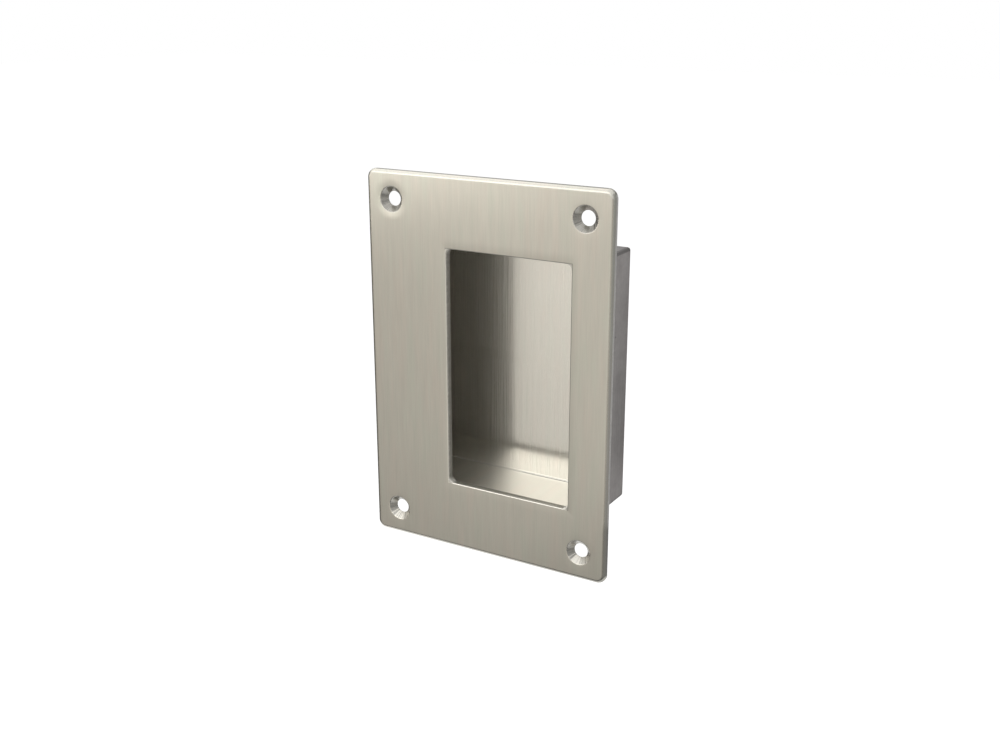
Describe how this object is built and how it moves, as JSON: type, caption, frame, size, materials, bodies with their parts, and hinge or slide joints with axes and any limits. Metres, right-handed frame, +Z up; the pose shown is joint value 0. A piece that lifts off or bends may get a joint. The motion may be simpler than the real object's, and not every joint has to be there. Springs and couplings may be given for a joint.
{
  "type": "recessed pull handle",
  "caption": "Rectangular flush pull for a sliding door: a countersunk face plate with an offset finger window over a wide, shallow pan.",
  "frame": {"origin": "centre of the four screw holes, on the back of the face plate", "axes": "+Z up along the plate's long side, +X to the right seen from the front, +Y into the door"},
  "size_m": [0.0888, 0.0239, 0.127],
  "materials": {
    "plate_steel": "satin, brushed from top to bottom",
    "pan_steel": "satin inside, duller outside"
  },
  "bodies": {
    "root": {"face_plate": "plate_steel", "recess_pan": "pan_steel"}
  },
  "joints": []
}
